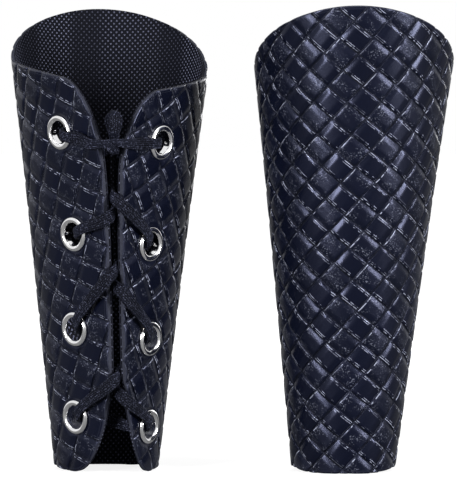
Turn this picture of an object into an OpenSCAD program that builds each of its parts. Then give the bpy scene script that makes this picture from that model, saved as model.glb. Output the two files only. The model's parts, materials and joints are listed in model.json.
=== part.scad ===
// A pair of laced leather bracers standing on their narrow ends.
// Each is one tapered sheet, open down one side and drawn together by a flat lace
// that criss-crosses through four rows of metal eyelets.
// Lengths are in millimetres. The origin is on the floor, midway between the bracers.
// +X is to the right and the left bracer's slit faces -Y.

/* [Sleeve] */
// Half of the width at the floor
foot_half_w = 28.4; // [27:0.2:31]
// Gain of half width per millimetre of height
flare = 0.1135; // [0.095:0.0005:0.125]
// Share of each side, counted from the slit, that stays almost flat
flat_share = 0.36; // [0.28:0.01:0.44]
// Height of the rim at the sides
rim_side_z = 225; // [218:1:235]
// Rise of the rim from the sides to the back
rim_rise = 34; // [24:1:40]
// Fall of the rim from the side to the front of the left flap
left_rim_drop = 9; // [6:1:14]
// The same on the right flap
right_rim_drop = 15; // [10:1:20]
// Height of the sides over the floor between the two parts of the hem that stand on it
hem_rise = 2.3; // [0.5:0.1:4]
// Thickness of the outer leather
leather_t = 1.7; // [1.4:0.1:2.2]
// Thickness of the fabric lining
lining_t = 0.9; // [0.8:0.1:1.2]

/* [Slit] */
// Width of the slit between the outer edges of the flaps
slit_w = 9.6; // [8.6:0.1:12]
// Extra opening on the left flap's side at 100 mm over the height where the slit widens
left_splay = 7; // [4:0.5:9]
// The same on the right flap's side
right_splay = 5; // [2:0.5:7]
// How far the cut edge at the slit slants inwards per millimetre of depth
cut_slant = 0.45; // [0:0.05:0.5]
// Sideways drift of the slit at the floor
slit_drift = 9; // [0:0.5:11]
// Length along the rim of the left flap's rounded upper corner
left_corner_l = 27; // [24:1:31]
// Height of the left flap's rounded upper corner
left_corner_h = 44; // [38:1:48]
// Length along the rim of the right flap's rounded upper corner
right_corner_l = 31; // [27:1:34]
// Height of the right flap's rounded upper corner
right_corner_h = 44; // [38:1:48]
// Length along the hem of each rounded lower corner
low_corner_l = 27; // [22:1:29]
// Height of each rounded lower corner
low_corner_h = 64; // [50:1:70]

/* [Eyelets] */
// Outer diameter of an eyelet
eyelet_d = 19.6; // [18.6:0.1:20.6]
// Diameter of the hole through an eyelet
hole_d = 12.8; // [12.4:0.1:13.4]
// Distance from the slit to the eyelets, along the leather
eyelet_inset = 26; // [24:0.5:28]
// Extra distance of the top row
top_row_extra = 8; // [5:0.5:9]
// Height of the lowest row
low_row_z = 28; // [26:0.5:31]
// Distance between the two lowest rows
row_pitch = 49.5; // [47:0.5:51]
// Growth of the distance from one pair of rows to the next
pitch_growth = 3.5; // [1.5:0.5:4]
// How much higher the left flap's eyelets are than the right flap's
flap_skew = 5.5; // [3:0.5:6.5]

/* [Lace] */
// Width of the flat lace
lace_w = 7.6; // [6.5:0.1:8]
// Thickness of the lace
lace_t = 2.2; // [1.8:0.1:2.4]
// Height of the loop that stands over the knot
loop_h = 17; // [15:1:20]
// Length of each lace end that hangs inside the slit
end_l = 70; // [50:5:85]

/* [Placing] */
// Distance between the two bracers' middles at the floor
pair_pitch = 137.7; // [132:0.5:145]
// Sideways lean of the left bracer, in degrees
left_lean = 1.25; // [0:0.05:2]
// Sideways lean of the right bracer, in degrees
right_lean = 0.95; // [0:0.05:2]

/* [Hidden] */
rows = 4;
flap_names = ["left_flap", "right_flap"];
bracer_names = ["left", "right"];

leather_colour = "#1b1e2b";
lining_colour = "#101116";
metal_colour = "#d8dade";
lace_colour = "#17171a";

// Each bracer: middle at the floor, turn about Z, lean, and how much lower its right side is cut.
// The slit of the second one faces away.
pair_shift = -3.49;
left_bracer = [pair_shift - pair_pitch / 2, 1.8, left_lean, 4.3];
right_bracer = [pair_shift + pair_pitch / 2, 173.8, right_lean, 4.4];
bracers = [left_bracer, right_bracer];

// The outline of one half of the level section, from the slit (0) to the back (1).
// It is almost straight at the slit and bends at a steady rate along the rest.
outline_steps = 96;
bend = [for (i = [0:outline_steps]) 1 - exp(-pow(i / outline_steps / flat_share, 2))];
function running_sum(v) = [
    for (i = 0, s = 0; i < len(v); s = s + (v[i] + v[min(i + 1, len(v) - 1)]) / 2, i = i + 1) s
];
bend_sum = running_sum(bend);
turned = bend_sum / bend_sum[outline_steps];
function headings(first) = [for (t = turned) first + (180 - first) * t];
function reach(first) = running_sum([for (h = headings(first)) cos(h)])[outline_steps];
function slit_heading(low, high, tries) =
    let (mid = (low + high) / 2)
    tries == 0 ? mid : reach(mid) > 0 ? slit_heading(mid, high, tries - 1)
                                      : slit_heading(low, mid, tries - 1);
steepest_at_slit = 80;
search_steps = 30;
heading = headings(slit_heading(0, steepest_at_slit, search_steps));
across = running_sum([for (h = heading) cos(h)]);
along_depth = running_sum([for (h = heading) sin(h)]);
widest = max(across);
half_perimeter = outline_steps / widest;
section_depth = along_depth[outline_steps] / widest;
heading_at = [for (i = [0:outline_steps]) [i / outline_steps, heading[i]]];
across_at = [for (i = [0:outline_steps]) [i / outline_steps, across[i] / widest]];
depth_at = [for (i = [0:outline_steps]) [i / outline_steps, along_depth[i] / widest - section_depth / 2]];

back_gap = 0.3;
splay_from_z = 120;
drift_fade_z = 200;
function half_w(z) = foot_half_w + flare * z;
function slit_half(side, z) =
    slit_w / 2 + (side < 0 ? left_splay : right_splay) * pow(max(0, z - splay_from_z) / 100, 2);
function drift(z) = slit_drift * (1 - z / drift_fade_z);
function share(arc, z) = arc / (half_w(z) * half_perimeter);

slant_power = 24;
// A point of the outer surface, and that point moved out along the surface's normal.
// The slant of the cut edge fades away from the slit.
function level_point(side, u, z) = [
    side * (lookup(u, across_at) * half_w(z) + slit_half(side, z) * pow(1 - u, 3) + back_gap / 2)
        + drift(z) * pow(1 - u, 2),
    lookup(u, depth_at) * half_w(z)
];
function level_normal(side, u) =
    let (h = lookup(u, heading_at), n = [sin(h), -cos(h)],
         fall = flare * (lookup(u, across_at) * n[0] + lookup(u, depth_at) * n[1]))
    [side * n[0], n[1], -fall] / norm([n[0], n[1], fall]);
function turned_by(v, a) = [v[0] * cos(a) - v[1] * sin(a), v[0] * sin(a) + v[1] * cos(a), v[2]];
function skin(b, side, u, z, out = 0) =
    let (p = level_point(side, u, z), n = level_normal(side, u),
         slant = side * out * cut_slant * pow(1 - u, slant_power),
         q = [p[0] + slant, p[1], z] + out * n,
         w = turned_by(q, b[1]))
    [w[0] + b[0] + tan(b[2]) * w[2], w[1], w[2]];

// The cut edges: the rim at the top and the hem that stands on the floor.
side_share = 0.5;
rim_power = 1.16;
function round_corner(arc, l, h) = arc >= l ? 0 : h * (1 - sqrt(1 - pow((l - arc) / l, 2)));
function rim_z(b, side, u) =
    let (t = (u - side_share) / (1 - side_share),
         drop = side < 0 ? left_rim_drop : right_rim_drop,
         z = rim_side_z + (t > 0 ? rim_rise * pow(sin(90 * t), rim_power) : drop * t))
    z - round_corner(u * half_w(z) * half_perimeter, side < 0 ? left_corner_l : right_corner_l,
                     side < 0 ? left_corner_h : right_corner_h)
        - b[3] * side * lookup(u, across_at);
hem_from = 0.3;
hem_to = 0.85;
function hem_z(u) =
    let (t = min(1, max(0, (u - hem_from) / (hem_to - hem_from))))
    hem_rise * pow(sin(180 * t), 2)
        + round_corner(u * half_w(0) * half_perimeter, low_corner_l, low_corner_h);

// A wall between two offsets of the outer surface, as one closed mesh.
corner_columns = 8;
corner_share = 0.27;
side_columns = 16;
wall_rows = 10;
columns = concat(
    [for (i = [0:corner_columns - 1]) corner_share * (1 - cos(90 * i / corner_columns))],
    [for (i = [0:side_columns]) corner_share + (1 - corner_share) * i / side_columns]
);
function turn_over(faces, over) = over ? [for (f = faces) [f[2], f[1], f[0]]] : faces;
module wall(b, side, outer, inner, edge_inset = 0) {
    n = len(columns);
    m = wall_rows + 1;
    function sheet(out) = [
        for (u = columns) for (j = [0:wall_rows])
            let (low = hem_z(u) + edge_inset, high = rim_z(b, side, u) - edge_inset)
            skin(b, side, u, low + (high - low) * j / wall_rows, out)
    ];
    skin_faces = [
        for (i = [0:n - 2]) for (j = [0:wall_rows - 1])
            let (a = i * m + j, c = a + m)
            each [[a, a + 1, c + 1], [a, c + 1, c]]
    ];
    // The way round the sheet's border, each step once.
    border = concat(
        [for (i = [0:n - 2]) i * m], [for (j = [0:wall_rows - 1]) (n - 1) * m + j],
        [for (i = [n - 1:-1:1]) i * m + wall_rows], [for (j = [wall_rows:-1:1]) j]
    );
    rim_faces = [
        for (k = [0:len(border) - 1])
            let (p = border[k], q = border[(k + 1) % len(border)], far = n * m)
            each [[p, q, q + far], [p, q + far, p + far]]
    ];
    back_faces = [for (f = skin_faces) [f[2] + n * m, f[1] + n * m, f[0] + n * m]];
    polyhedron(
        points = concat(sheet(-outer), sheet(-inner)),
        faces = turn_over(concat(skin_faces, rim_faces, back_faces), side < 0),
        convexity = 8
    );
}

// Where an eyelet sits: its middle on the outer surface and three directions,
// toward the slit, up the flap and out of the leather.
function row_z(k, side) =
    low_row_z + (k - 1) * row_pitch + (k - 1) * (k - 2) / 2 * pitch_growth - side * flap_skew / 2;
function row_arc(k) = eyelet_inset + (k == rows ? top_row_extra : 0);
function eyelet_frame(b, side, k) =
    let (z = row_z(k, side), u = share(row_arc(k), z), step = 0.004,
         toward = skin(b, side, u - step, z) - skin(b, side, u + step, z),
         rise = skin(b, side, u, z + 1) - skin(b, side, u, z - 1),
         raw = side * cross(rise, toward), n = raw / norm(raw),
         t = toward / norm(toward))
    [skin(b, side, u, z), t, side * cross(t, n), n];
module at_eyelet(b, side, k) {
    f = eyelet_frame(b, side, k);
    t = f[1];
    n = f[3];
    v = cross(n, t);
    multmatrix([
        [t[0], v[0], n[0], f[0][0]],
        [t[1], v[1], n[1], f[0][1]],
        [t[2], v[2], n[2], f[0][2]],
        [0, 0, 0, 1]
    ]) children();
}

// The eyelet is drawn from the outer surface at 0, with the wall below it.
wall_t = leather_t + lining_t;
seat_depth = 0.35;
washer_bite = 0.15;
glue_gap = 0.05;
barrel_t = 0.5;
washer_t = 0.5;
fit_gap = 0.1;
hole_r = hole_d / 2;
eyelet_r = eyelet_d / 2;
bead_r = (eyelet_r - hole_r) / 2;
roll_r = 0.9;
washer_top = -wall_t + washer_bite;
washer_low = washer_top - washer_t;
module round_cut(r, low, high) {
    translate([0, 0, low]) cylinder(r = r, h = high - low, $fn = 64);
}
module eyelet_cuts(b, side) {
    for (k = [1:rows]) at_eyelet(b, side, k) {
        round_cut(hole_r + barrel_t + fit_gap, -wall_t - 3, 3);
        round_cut(eyelet_r + fit_gap, -seat_depth, 3);
    }
}
module washer_cuts(b, side) {
    for (k = [1:rows]) at_eyelet(b, side, k) {
        round_cut(hole_r + barrel_t + fit_gap, -wall_t - 3, 3);
        round_cut(eyelet_r + fit_gap, washer_top - 3, washer_top);
    }
}
module half_bead(r, up) {
    intersection() {
        circle(r = r, $fn = 48);
        translate([-r - 1, up ? 0 : -r - 1]) square([2 * r + 2, r + 1]);
    }
}
module leather(b, side) {
    color(leather_colour) difference() {
        wall(b, side, 0, leather_t);
        eyelet_cuts(b, side);
    }
}
module lining(b, side) {
    color(lining_colour) difference() {
        wall(b, side, leather_t + glue_gap, wall_t, 0.4);
        washer_cuts(b, side);
    }
}
module eyelet(b, side, k) {
    color(metal_colour) at_eyelet(b, side, k) rotate_extrude($fn = 64) {
        translate([hole_r + bead_r, -seat_depth]) half_bead(bead_r, true);
        translate([hole_r, washer_low]) square([barrel_t, -washer_low - seat_depth]);
        translate([hole_r + roll_r, washer_low]) half_bead(roll_r, false);
    }
}
module washer(b, side, k) {
    color(metal_colour) at_eyelet(b, side, k) rotate_extrude($fn = 64)
        translate([hole_r + barrel_t + fit_gap, washer_low])
            square([eyelet_r - hole_r - barrel_t - fit_gap, washer_t]);
}

// The lace is a list of stations: a place, the direction of its width, and the width there.
lace_gap = 0.4;
outside = lace_t / 2 + lace_gap;
bar_inside = -wall_t - lace_t / 2 - 2;
bar_share = 0.16;
hole_w = 0.8 * lace_w;
slit_lace_w = 0.79 * lace_w;
turn_r = bead_r + lace_t / 2 + 1.2;
function station(p, w, wide) = [p, w / norm(w), wide];
// The direction within the leather at an eyelet that points at a place.
function heading_to(f, p) = let (d = p - f[0], flat = d - (d * f[3]) * f[3]) flat / norm(flat);
function near_eyelet(f, d, toward, out, w, wide) =
    station(f[0] + toward * d + out * f[3], w, wide);
// Where the lace lies in the hole, and where it bends over the eyelet's bead: two angles round
// the bead and a step back toward the hole.
hole_shift = 3;
rising = 42;
leaving = 62;
turn_back = 0.5;
// From the middle of the hole, over the eyelet's edge in direction d, to the outside.
function out_of_hole(f, d) =
    let (w = side_of(f, d), crest = hole_r + bead_r)
    [
        near_eyelet(f, f[1], hole_shift, -wall_t / 2, f[2], hole_w),
        near_eyelet(f, mix(f[1], d, 0.6), crest - turn_back - turn_r * cos(rising),
                    -seat_depth + turn_r * sin(rising), mix(f[2], w, 0.5), hole_w),
        near_eyelet(f, d, crest + turn_r * cos(leaving), -seat_depth + turn_r * sin(leaving),
                    w, slit_lace_w)
    ];
dip_from_hole = 4.6;
dip = 1.5;
under_roll = 1.1;
// From the inside in direction d, round the washer's edge, up to the hole.
function into_hole(f, d) =
    let (w = side_of(f, d))
    [
        near_eyelet(f, d, hole_r + dip_from_hole, washer_low - lace_t / 2 - dip, w, slit_lace_w),
        near_eyelet(f, mix(f[1], d, 0.6), hole_r - 1, washer_low - lace_t / 2 - roll_r - under_roll,
                    mix(f[2], w, 0.5), hole_w)
    ];
// The direction across a strand that leaves an eyelet in direction d, the one that points up.
function side_of(f, d) = let (w = cross(f[3], d)) w * f[2] < 0 ? -w : w;
function upward(w) = w[2] < 0 ? -w : w;
function reversed(v) = [for (i = [len(v) - 1:-1:0]) v[i]];
function mix(a, c, t) = a + (c - a) * t;
// The middle of the slit at a height, moved sideways and out of the bracer.
function slit_middle(b, z, sideways, out) =
    (skin(b, -1, 0, z) + skin(b, 1, 0, z)) / 2 + turned_by([sideways, -out, 0], b[1]);
// Places of a strand at the slit, in millimetres: how far inside its own edge and over it,
// how far past the middle and how deep there for the lower and the upper strand, and how far
// past the middle and how deep behind.
edge_in = 1.4;
over_edge = 3.4;
middle_past = 0.2;
middle_in = [2.2, 1.5];
past_middle = 0.8;
behind_slit = 6.4;
// How far the strand's width turns upright in the middle.
upright = 5;
// Height at its own edge, and behind, from the height at which it passes the middle.
edge_fall = 4;
behind_rise = 2;
// One strand from an eyelet, over its own flap, through the slit and behind the other
// flap to that flap's eyelet in the row above.
function strand(b, side, k, over) =
    let (from = eyelet_frame(b, side, k), to = eyelet_frame(b, -side, k + 1),
         z_slit = slit_z(k, over), edge_z = z_slit - edge_fall,
         d_out = heading_to(from, skin(b, side, 0, edge_z)),
         d_in = heading_to(to, skin(b, -side, 0, z_slit + behind_rise)),
         w_out = side_of(from, d_out), w_in = side_of(to, d_in),
         w_edge = upward(cross(turned_by(level_normal(side, 0), b[1]), d_out)),
         half_gap = (slit_half(-1, edge_z) + slit_half(1, edge_z)) / 2)
    concat(
        out_of_hole(from, d_out),
        [station(slit_middle(b, edge_z, side * (half_gap - edge_in), over_edge), w_edge, lace_w),
         station(slit_middle(b, z_slit, -side * middle_past, -middle_in[over ? 1 : 0]),
                 w_edge + w_in + [0, 0, upright], slit_lace_w),
         station(slit_middle(b, z_slit + behind_rise, -side * past_middle, -behind_slit),
                 w_in, slit_lace_w)],
        into_hole(to, d_in)
    );
// The strands of one crossing pass the slit at two heights, round a place between the rows.
pass_rise = 4.2;
crossing_shift = [-2, 6, -8];
function slit_z(k, over) =
    (row_z(k, 0) + row_z(k + 1, 0)) / 2 + crossing_shift[k - 1] + (over ? pass_rise : -pass_rise);
// Which flap's strand lies on top between each pair of rows, from the bottom.
top_side = [-1, -1, 1];
function climb(b, side, k) = k == rows ? [] : concat(
    strand(b, side, k, top_side[k - 1] == side), climb(b, -side, k + 1));
// The bar behind the lowest row joins the two climbs.
function bar(b) =
    let (l = eyelet_frame(b, -1, 1), r = eyelet_frame(b, 1, 1), z = low_row_z,
         middle = mix(skin(b, -1, bar_share, z, bar_inside), skin(b, 1, bar_share, z, bar_inside), 0.5))
    concat(
        reversed(into_hole(l, l[1])),
        [station(middle, l[2] + r[2], lace_w)],
        into_hole(r, r[1])
    );

// At the top the right end runs straight across the slit and goes inside. The left one wraps
// once round it, stands up in a folded loop, and goes inside behind it.
// Each row is the place (sideways, out, up), the direction of the width, and the width.
knot_z = row_z(rows, 0) - 3;
knot_w = 3.6;
across_x = [1, 0, 0];
up_z = [0, 0, 1];
wrap_places = [
    [-3.4, 6.2, -0.4, up_z, knot_w], [0.2, 5.6, -3, [0.6, 0, 0.8], knot_w],
    [1.8, 1.8, -4.8, across_x, knot_w], [2, -1.9, -1.6, across_x, knot_w],
    [1.8, -1.8, 3, across_x, knot_w], [1.6, 1.2, 5.8, across_x, knot_w + 1.4],
    [1.5, 3.4, loop_h - 7, across_x, slit_lace_w], [1.5, 2.9, loop_h - 2, across_x, lace_w],
    [1.4, 0.6, loop_h, across_x, lace_w], [1, -1.9, loop_h - 3.4, across_x, lace_w],
    [1.6, -5.2, 5, across_x, slit_lace_w]
];
straight_places = [
    [3.6, 2.4, 0.3, up_z, knot_w], [0, 2.1, 0, up_z, knot_w], [-3.4, 1.6, -0.4, up_z, knot_w],
    [-2.2, -2.8, -4.4, [0.7, 0, 0.7], knot_w + 1]
];
function knot_station(b, v) =
    station(slit_middle(b, knot_z + v[2], v[0], v[1]), turned_by(v[3], b[1]), v[4]);
// Each end hangs inside, along the slit.
end_depth = 15;
end_start = 7;
end_steps = 3;
function end_inside(b, sideways) = [
    for (i = [0:end_steps])
        station(slit_middle(b, knot_z - end_start - i * end_l / end_steps, sideways, -end_depth),
                turned_by(across_x, b[1]), slit_lace_w)
];
// The run over the flap: distances from the slit, and how far out of the leather.
bar_arcs = [16, 3];
bar_out = [outside + 0.6, outside + 0.9];
function top_run(b, side, places, end_x) =
    let (f = eyelet_frame(b, side, rows), z = row_z(rows, side),
         d = heading_to(f, skin(b, side, share(2, knot_z), knot_z)))
    concat(
        out_of_hole(f, d),
        [station(skin(b, side, share(bar_arcs[0], z), mix(knot_z, z, 0.5), bar_out[0]), up_z, lace_w),
         station(skin(b, side, share(bar_arcs[1], knot_z), knot_z, bar_out[1]), up_z, slit_lace_w)],
        [for (v = places) knot_station(b, v)],
        end_inside(b, end_x)
    );
end_x = 3.7;
left_top = [for (b = bracers) top_run(b, -1, wrap_places, end_x)];
right_top = [for (b = bracers) top_run(b, 1, straight_places, -end_x)];
lace_sides = 8;
function lace_ring(p, w, tangent, wide) =
    let (side = w - (w * tangent) * tangent, s = side / norm(side), up = cross(tangent, s),
         x = wide / 2, y = lace_t / 2)
    [for (c = [[x, y / 2], [x - y / 2, y], [-x + y / 2, y], [-x, y / 2],
               [-x, -y / 2], [-x + y / 2, -y], [x - y / 2, -y], [x, -y / 2]])
        p + c[0] * s + c[1] * up];
module lace_tube(stations) {
    n = len(stations);
    rings = [
        for (i = [0:n - 1])
            let (d = stations[min(i + 1, n - 1)][0] - stations[max(i - 1, 0)][0])
            each lace_ring(stations[i][0], stations[i][1], d / norm(d), stations[i][2])
    ];
    sides = [
        for (i = [0:n - 2]) for (j = [0:lace_sides - 1])
            let (a = i * lace_sides + j, c = i * lace_sides + (j + 1) % lace_sides)
            each [[a, a + lace_sides, c], [c, a + lace_sides, c + lace_sides]]
    ];
    caps = [
        for (j = [1:lace_sides - 2]) each [
            [0, j, j + 1],
            [(n - 1) * lace_sides, (n - 1) * lace_sides + j + 1, (n - 1) * lace_sides + j]
        ]
    ];
    polyhedron(points = rings, faces = concat(sides, caps), convexity = 10);
}
// The climb that starts on one flap ends on the other after an odd number of crossings.
module lace(i) {
    b = bracers[i];
    color(lace_colour) lace_tube(concat(
        reversed(right_top[i]), reversed(climb(b, -1, 1)), bar(b), climb(b, 1, 1), left_top[i]
    ));
}

for (i = [0:1]) {
    for (f = [0:1]) {
        place = str(bracer_names[i], "_", flap_names[f]);
        side = 2 * f - 1;
        leather(bracers[i], side);
        lining(bracers[i], side);
        for (k = [1:rows]) {
            eyelet(bracers[i], side, k);
            washer(bracers[i], side, k);
        }
    }
    lace(i);
}
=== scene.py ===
# A pair of laced leather bracers: embossed leather, cloth lining, set eyelets and a braided lace.
import json
import math

import bmesh
import bpy
import numpy as np
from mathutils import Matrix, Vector


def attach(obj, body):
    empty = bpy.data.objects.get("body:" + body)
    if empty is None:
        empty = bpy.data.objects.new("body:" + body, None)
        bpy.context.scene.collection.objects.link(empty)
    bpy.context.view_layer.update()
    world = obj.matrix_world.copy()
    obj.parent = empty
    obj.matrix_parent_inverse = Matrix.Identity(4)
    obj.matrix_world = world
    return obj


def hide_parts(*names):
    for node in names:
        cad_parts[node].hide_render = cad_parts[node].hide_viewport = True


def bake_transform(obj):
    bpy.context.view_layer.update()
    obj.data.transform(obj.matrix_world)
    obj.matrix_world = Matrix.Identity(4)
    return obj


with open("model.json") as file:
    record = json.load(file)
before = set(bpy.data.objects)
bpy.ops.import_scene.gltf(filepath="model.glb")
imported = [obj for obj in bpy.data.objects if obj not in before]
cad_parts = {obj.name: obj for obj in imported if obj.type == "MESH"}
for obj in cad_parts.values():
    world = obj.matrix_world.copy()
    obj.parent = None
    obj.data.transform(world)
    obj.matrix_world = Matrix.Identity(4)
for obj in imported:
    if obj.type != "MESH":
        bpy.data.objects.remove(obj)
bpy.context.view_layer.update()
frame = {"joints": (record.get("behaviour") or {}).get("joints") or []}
mm = 0.001

# Sizes are in millimetres and angles in degrees. Side -1 is the left side of a slit, seen from
# outside, and side 1 the right one.
sleeve = dict(
    footHalfWidth=28.4,
    flare=0.1135,
    flatShare=0.36,
    rimSide=225.0,
    rimRise=34.0,
    rimDrop={-1: 9.0, 1: 15.0},
    rimPower=1.16,
    hemRise=2.3,
    hemFrom=0.3,
    hemTo=0.85,
    leather=1.7,
    lining=0.9,
    glue=0.05,
    slitWidth=9.6,
    splay={-1: 7.0, 1: 5.0},
    cutSlant=0.45,
    slantPower=24,
    splayFrom=120.0,
    splayReach=100.0,
    splayPower=3,
    drift=9.0,
    driftFade=200.0,
    driftPower=2,
    topCorner={-1: (27.0, 44.0), 1: (31.0, 44.0)},
    lowCorner=(27.0, 64.0),
    outlineSteps=96,
)
eyelets = dict(
    rows=4,
    outer=9.8,
    hole=6.4,
    inset=26.0,
    topExtra=8.0,
    lowRow=28.0,
    pitch=49.5,
    growth=3.5,
    skew=5.5,
    seat=0.35,
    bite=0.15,
    washer=0.5,
    barrel=0.5,
    roll=0.9,
    seatPlay=0.1,
    washerPlay=0.1,
    washerBevel=0.12,
    beadSteps=17,
    rollSteps=11,
    ringSides=88,
    washerSides=64,
)
lace = dict(
    width=7.6,
    thick=2.2,
    gap=0.4,
    loopHeight=17.0,
    endLength=70.0,
    endDepth=15.0,
    endStart=7.0,
    endSteps=3,
    endSide=3.7,
    knotWidth=4.8,
    edgeIn=1.4,
    overEdge=3.4,
    middlePast=0.2,
    middleIn=(2.2, 1.5),
    pastMiddle=0.8,
    behindSlit=6.4,
    upright=5.0,
    edgeFall=4.0,
    behindRise=2.0,
    holeShift=3.0,
    rising=42.0,
    leaving=62.0,
    turnBack=0.5,
    dipFromHole=4.6,
    dip=1.5,
    underRoll=1.1,
    barShare=0.16,
    barInside=2.0,
    barArcs=(16.0, 3.0),
    barOut=(0.6, 0.9),
    passRise=4.2,
    crossingShift=(-2.0, 6.0, -8.0),
    topSide=(-1, -1, 1),
    ringClear=1.2,
    holeShare=0.8,
    slitShare=0.79,
    turnShare=0.6,
    twistShare=0.5,
    insideHole=1.0,
    knotDrop=3.0,
    knotArc=2.0,
)
# Middle at the floor, turn and lean in degrees, and how much lower the right side is cut.
bracers = [
    dict(name="left", x=-72.34, turn=1.8, lean=1.25, slant=4.3),
    dict(name="right", x=65.36, turn=173.8, lean=0.95, slant=4.4),
]

# The level section's outline, from the slit (0) to the back (1).


def runningSum(values):
    return np.concatenate([[0.0], np.cumsum((values[:-1] + values[1:]) / 2)])


shareOfHalf = np.arange(sleeve["outlineSteps"] + 1) / sleeve["outlineSteps"]
bendSum = runningSum(1 - np.exp(-((shareOfHalf / sleeve["flatShare"]) ** 2)))
turnedShare = bendSum / bendSum[-1]


def headingsFrom(first):
    return np.radians(first + (180 - first) * turnedShare)


# The heading at the slit, found by halving, with which the outline meets the middle at the back.
low, high = 0.0, 80.0
for attempt in range(30):
    middle = (low + high) / 2
    if runningSum(np.cos(headingsFrom(middle)))[-1] > 0:
        low = middle
    else:
        high = middle
heading = headingsFrom((low + high) / 2)
across = runningSum(np.cos(heading))
depth = runningSum(np.sin(heading))
halfPerimeter = sleeve["outlineSteps"] / across.max()
depth = depth / across.max() - depth[-1] / across.max() / 2
across = across / across.max()


def halfWidth(z):
    return sleeve["footHalfWidth"] + sleeve["flare"] * z


def slitHalf(side, z):
    above = np.maximum(0, z - sleeve["splayFrom"]) / sleeve["splayReach"]
    return sleeve["slitWidth"] / 2 + sleeve["splay"][side] * above ** 2


def share(arc, z):
    return arc / (halfWidth(z) * halfPerimeter)


def turned(p, degrees):
    c, s = math.cos(math.radians(degrees)), math.sin(math.radians(degrees))
    return np.stack([p[..., 0] * c - p[..., 1] * s, p[..., 0] * s + p[..., 1] * c, p[..., 2]], -1)


# A point of the outer surface in millimetres, moved out along its normal.
def skin(b, side, u, z, out=0.0):
    u, z = np.broadcast_arrays(np.asarray(u, float), np.asarray(z, float))
    a = np.interp(u, shareOfHalf, across)
    d = np.interp(u, shareOfHalf, depth)
    h = np.interp(u, shareOfHalf, heading)
    x = side * (a * halfWidth(z) + slitHalf(side, z) * (1 - u) ** sleeve["splayPower"])
    x = x + sleeve["drift"] * (1 - z / sleeve["driftFade"]) * (1 - u) ** sleeve["driftPower"]
    x = x + side * np.asarray(out) * sleeve["cutSlant"] * (1 - u) ** sleeve["slantPower"]
    n = np.stack([side * np.sin(h), -np.cos(h), -sleeve["flare"] * (a * np.sin(h) - d * np.cos(h))], -1)
    n = n / np.linalg.norm(n, axis=-1, keepdims=True)
    p = np.stack([x, d * halfWidth(z), z], -1) + np.asarray(out)[..., None] * n
    w = turned(p, b["turn"])
    w[..., 0] += b["x"] + math.tan(math.radians(b["lean"])) * w[..., 2]
    return w


def roundCorner(arc, corner):
    reach = np.clip((corner[0] - arc) / corner[0], 0, 1)
    return corner[1] * (1 - np.sqrt(1 - reach ** 2))


# The rim's height, from its dip at the slit's side over its middle level to its rise at the back.
def rimHeight(b, side, u):
    t = 2 * u - 1
    rise = sleeve["rimRise"] * np.sin(np.radians(90 * np.maximum(t, 0))) ** sleeve["rimPower"]
    z = sleeve["rimSide"] + np.where(t > 0, rise, sleeve["rimDrop"][side] * t)
    z = z - roundCorner(u * halfWidth(z) * halfPerimeter, sleeve["topCorner"][side])
    return z - b["slant"] * side * np.interp(u, shareOfHalf, across)


def hemHeight(u):
    t = np.clip((u - sleeve["hemFrom"]) / (sleeve["hemTo"] - sleeve["hemFrom"]), 0, 1)
    lift = sleeve["hemRise"] * np.sin(np.radians(180 * t)) ** 2
    return lift + roundCorner(u * sleeve["footHalfWidth"] * halfPerimeter, sleeve["lowCorner"])


# Where the eyelets sit.

wall = sleeve["leather"] + sleeve["lining"]


def rowHeight(k, side):
    return (eyelets["lowRow"] + (k - 1) * eyelets["pitch"] + (k - 1) * (k - 2) / 2 * eyelets["growth"]
            - side * eyelets["skew"] / 2)


def rowArc(k):
    return eyelets["inset"] + (eyelets["topExtra"] if k == eyelets["rows"] else 0)


def unit(v):
    return v / np.linalg.norm(v)


# Half the steps, round and up, over which a direction of the surface is taken.
stepRound, stepUp = 0.004, 1.0


# The middle of an eyelet, and the directions toward the slit, up the flap and out.
def eyeletFrame(b, side, k):
    z = rowHeight(k, side)
    u = share(rowArc(k), z)
    toward = unit(skin(b, side, u - stepRound, z) - skin(b, side, u + stepRound, z))
    rise = skin(b, side, u, z + stepUp) - skin(b, side, u, z - stepUp)
    n = unit(side * np.cross(rise, toward))
    return skin(b, side, u, z), toward, side * np.cross(toward, n), n


def eyeletFrames(b, side):
    return [eyeletFrame(b, side, k) for k in range(1, eyelets["rows"] + 1)]


# The lace's route: stations with a place, the direction of its width, and its width.

washerLow = -wall + eyelets["bite"] - eyelets["washer"]
beadRadius = (eyelets["outer"] - eyelets["hole"]) / 2
turnRadius = beadRadius + lace["thick"] / 2 + lace["ringClear"]
outside = lace["thick"] / 2 + lace["gap"]
barInside = -wall - lace["thick"] / 2 - lace["barInside"]
holeWidth = lace["holeShare"] * lace["width"]
slitLaceWidth = lace["slitShare"] * lace["width"]


def mix(a, c, t):
    return a + (c - a) * t


def headingTo(f, p):
    d = p - f[0]
    return unit(d - (d @ f[3]) * f[3])


def sideOf(f, d):
    w = np.cross(f[3], d)
    return -w if w @ f[2] < 0 else w


def station(p, w, wide):
    return p, unit(w), wide


def nearEyelet(f, d, toward, out, w, wide):
    return station(f[0] + toward * d + out * f[3], w, wide)


def turnAt(f, d, w):
    return mix(f[1], d, lace["turnShare"]), mix(f[2], w, lace["twistShare"])


def outOfHole(f, d):
    w = sideOf(f, d)
    turning, twisted = turnAt(f, d, w)
    crest = eyelets["hole"] + beadRadius
    rising, leaving = math.radians(lace["rising"]), math.radians(lace["leaving"])
    return [
        nearEyelet(f, f[1], lace["holeShift"], -wall / 2, f[2], holeWidth),
        nearEyelet(f, turning, crest - lace["turnBack"] - turnRadius * math.cos(rising),
                   -eyelets["seat"] + turnRadius * math.sin(rising), twisted, holeWidth),
        nearEyelet(f, d, crest + turnRadius * math.cos(leaving),
                   -eyelets["seat"] + turnRadius * math.sin(leaving), w, slitLaceWidth),
    ]


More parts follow.
